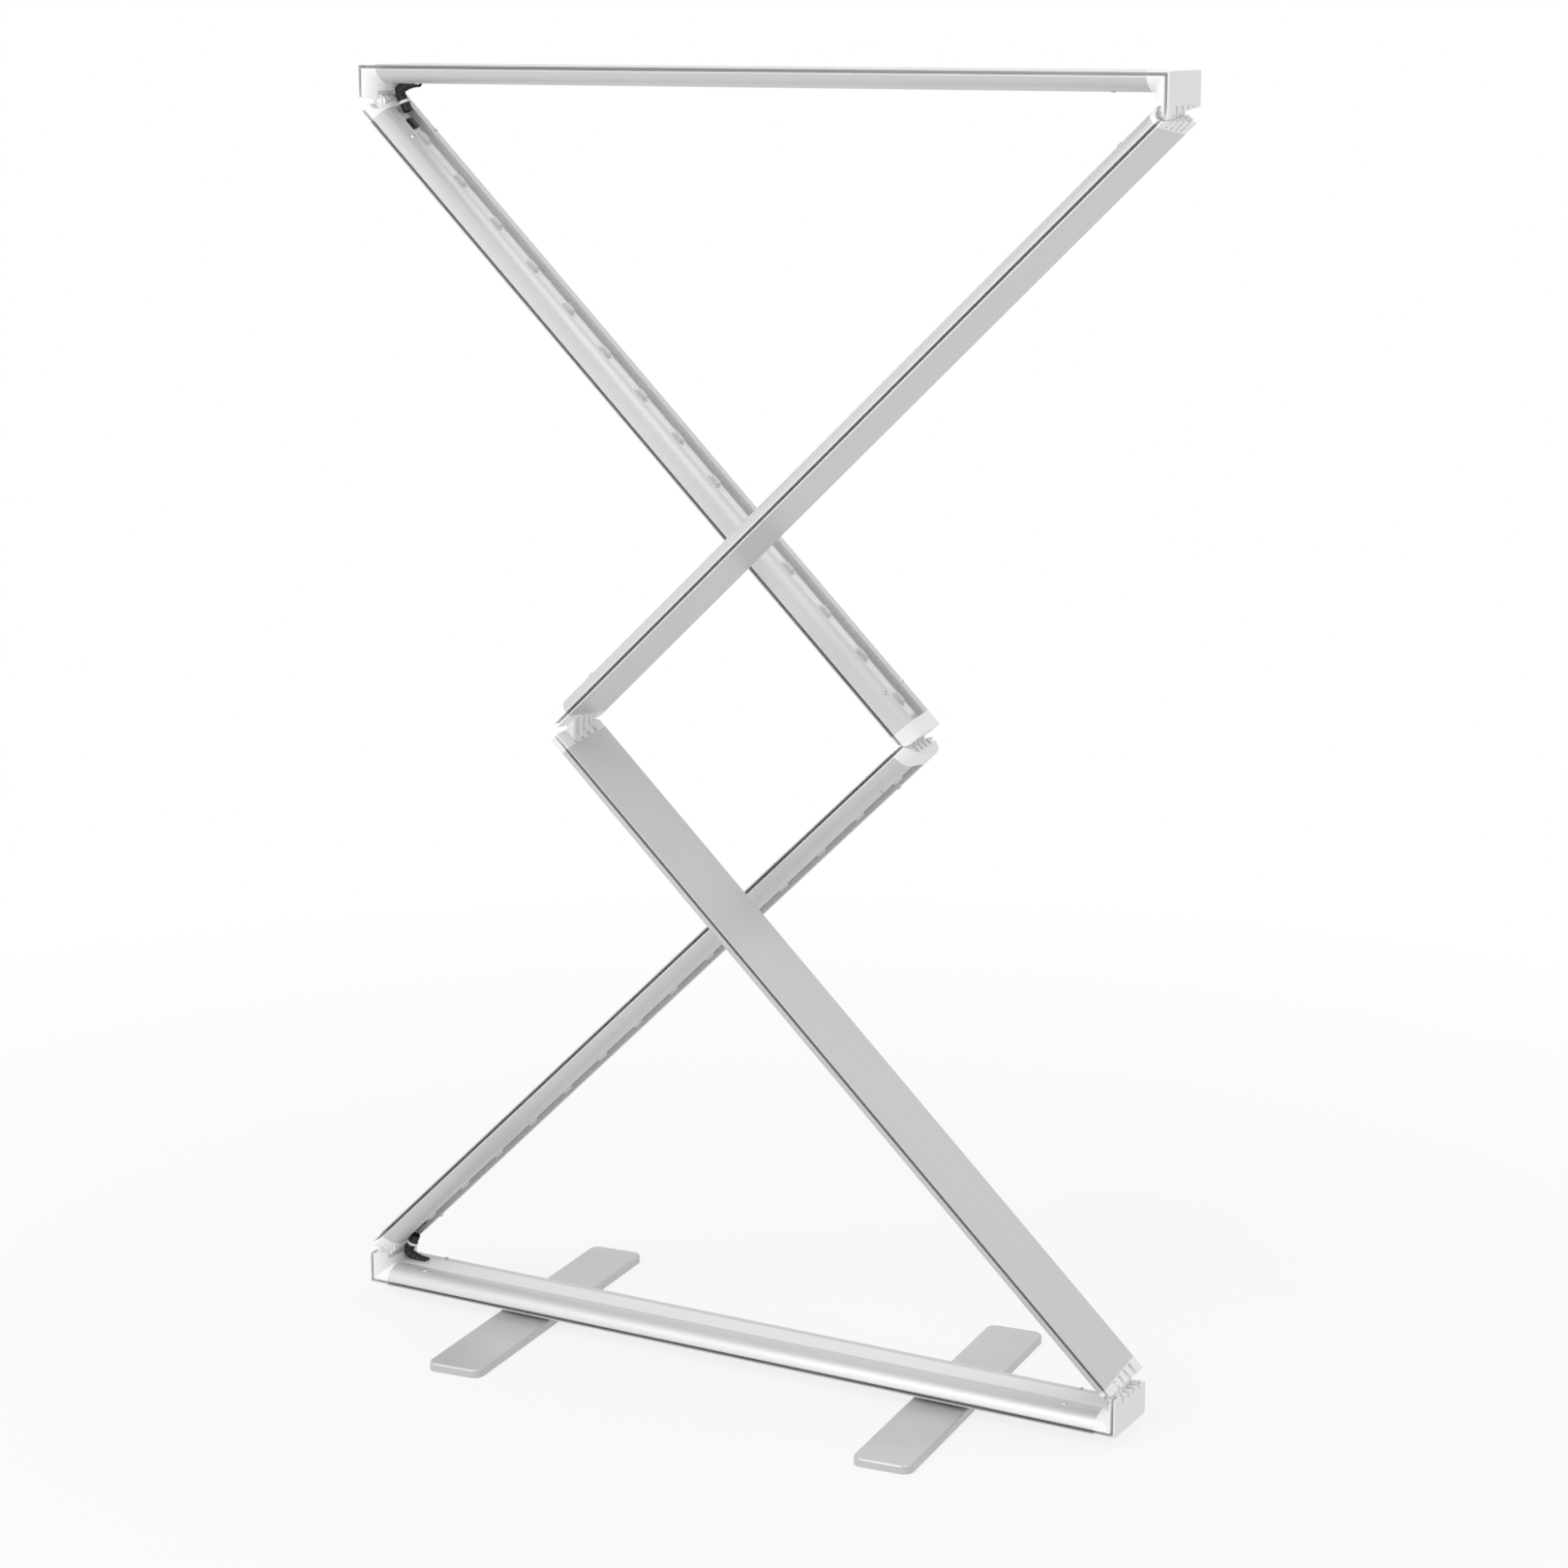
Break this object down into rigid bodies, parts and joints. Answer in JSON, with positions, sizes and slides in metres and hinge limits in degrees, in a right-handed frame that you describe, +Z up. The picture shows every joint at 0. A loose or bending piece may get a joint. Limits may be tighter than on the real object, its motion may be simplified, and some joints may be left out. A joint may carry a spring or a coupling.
{
  "type": "folding light box frame",
  "caption": "Free-standing folding light box frame with grooved aluminium rails, moulded hinged corners, light strips in the side rails and swivelling flat feet.",
  "frame": {"origin": "bottom centre of the half folded frame, on the floor", "axes": "+Z up, +X right along the bottom rail, +Y to the back, away from the front fabric"},
  "size_m": [1.0252, 0.4324, 1.4901],
  "materials": {
    "anodised_aluminium": "satin anodised",
    "moulded_white": "fine moulded satin",
    "cover_strip": "satin",
    "light_board": "solder mask white",
    "light_lens": "clear gloss",
    "steel": "plated",
    "foot_paint": "satin powder coat",
    "black_rubber": "matt"
  },
  "bodies": {
    "base": {"bottom_rail": "anodised_aluminium", "bottom_cover_strip": "cover_strip", "bottom_screws": "steel", "bottom_hinge_pins": "steel", "bottom_right_corner": "moulded_white", "bottom_left_corner": "moulded_white", "foot_bolts": "steel", "foot_washers": "black_rubber", "foot_nuts": "steel"},
    "left_foot_bar": {"left_foot": "foot_paint"},
    "right_foot_bar": {"right_foot": "foot_paint"},
    "lower_left_arm": {"lower_left_rail": "anodised_aluminium", "lower_left_corner_cap": "moulded_white", "lower_left_hinge_fins": "moulded_white", "lower_left_elbow_cap": "moulded_white", "lower_left_light_board": "light_board", "lower_left_lenses": "light_lens", "lower_left_screws": "steel", "lower_left_pins": "steel", "lower_left_cable_boot": "black_rubber"},
    "left_link": {"left_elbow_link": "moulded_white"},
    "upper_left_arm": {"upper_left_rail": "anodised_aluminium", "upper_left_corner_cap": "moulded_white", "upper_left_hinge_fins": "moulded_white", "upper_left_elbow_cap": "moulded_white", "upper_left_light_board": "light_board", "upper_left_lenses": "light_lens", "upper_left_screws": "steel", "upper_left_pins": "steel", "upper_left_cable_boot": "black_rubber"},
    "lower_right_arm": {"lower_right_rail": "anodised_aluminium", "lower_right_corner_cap": "moulded_white", "lower_right_hinge_fins": "moulded_white", "lower_right_elbow_cap": "moulded_white", "lower_right_light_board": "light_board", "lower_right_lenses": "light_lens", "lower_right_screws": "steel", "lower_right_pins": "steel"},
    "right_link": {"right_elbow_link": "moulded_white"},
    "upper_right_arm": {"upper_right_rail": "anodised_aluminium", "upper_right_corner_cap": "moulded_white", "upper_right_hinge_fins": "moulded_white", "upper_right_elbow_cap": "moulded_white", "upper_right_light_board": "light_board", "upper_right_lenses": "light_lens", "upper_right_screws": "steel", "upper_right_pins": "steel"},
    "top": {"top_rail": "anodised_aluminium", "top_cover_strip": "cover_strip", "top_screws": "steel", "top_hinge_pins": "steel", "top_right_corner": "moulded_white", "top_left_corner": "moulded_white"}
  },
  "joints": [
    {"name": "lower_left_fold", "type": "hinge", "parent": "base", "child": "lower_left_arm", "pos_m": [-0.4986, 0, 0.056], "axis": [-0.1582, 0.9874, 0], "range_deg": [-45.2, 42.8]},
    {"name": "left_elbow_lower", "type": "hinge", "parent": "lower_left_arm", "child": "left_link", "pos_m": [0.15782, 0.10626, 0.72608], "axis": [-0.1582, 0.9874, 0], "range_deg": [-41.82, 44.16]},
    {"name": "left_elbow_upper", "type": "hinge", "parent": "left_link", "child": "upper_left_arm", "pos_m": [0.15833, 0.10634, 0.75407], "axis": [-0.1582, 0.9874, 0], "range_deg": [-41.82, 44.16]},
    {"name": "top_fold", "type": "hinge", "parent": "upper_left_arm", "child": "top", "pos_m": [-0.4734, 0.00404, 1.44807], "axis": [-0.1582, 0.9874, 0], "range_deg": [-43.11, 40.82]},
    {"name": "lower_right_fold", "type": "hinge", "parent": "base", "child": "lower_right_arm", "pos_m": [0.4734, 0, 0.056], "axis": [-0.1582, 0.9874, 0], "range_deg": [-40.82, 43.11]},
    {"name": "right_elbow_lower", "type": "hinge", "parent": "lower_right_arm", "child": "right_link", "pos_m": [-0.15833, -0.10231, 0.75], "axis": [-0.1582, 0.9874, 0], "range_deg": [-44.16, 41.82]},
    {"name": "right_elbow_upper", "type": "hinge", "parent": "right_link", "child": "upper_right_arm", "pos_m": [-0.15782, -0.10223, 0.77799], "axis": [-0.1582, 0.9874, 0], "range_deg": [-44.16, 41.82]},
    {"name": "left_foot_swivel", "type": "hinge", "parent": "base", "child": "left_foot_bar", "pos_m": [-0.2926, 0, 0.005], "axis": [0, 0, 1], "range_deg": [-95, 85]},
    {"name": "right_foot_swivel", "type": "hinge", "parent": "base", "child": "right_foot_bar", "pos_m": [0.2674, 0, 0.005], "axis": [0, 0, 1], "range_deg": [-95, 85]}
  ],
  "couplings": [
    {"joint": "left_elbow_lower", "follows": "lower_left_fold", "ratio": -0.97677},
    {"joint": "left_elbow_upper", "follows": "lower_left_fold", "ratio": -0.97677},
    {"joint": "top_fold", "follows": "lower_left_fold", "ratio": 0.95354},
    {"joint": "lower_right_fold", "follows": "lower_left_fold", "ratio": -0.95354},
    {"joint": "right_elbow_lower", "follows": "lower_left_fold", "ratio": 0.97677},
    {"joint": "right_elbow_upper", "follows": "lower_left_fold", "ratio": 0.97677}
  ]
}
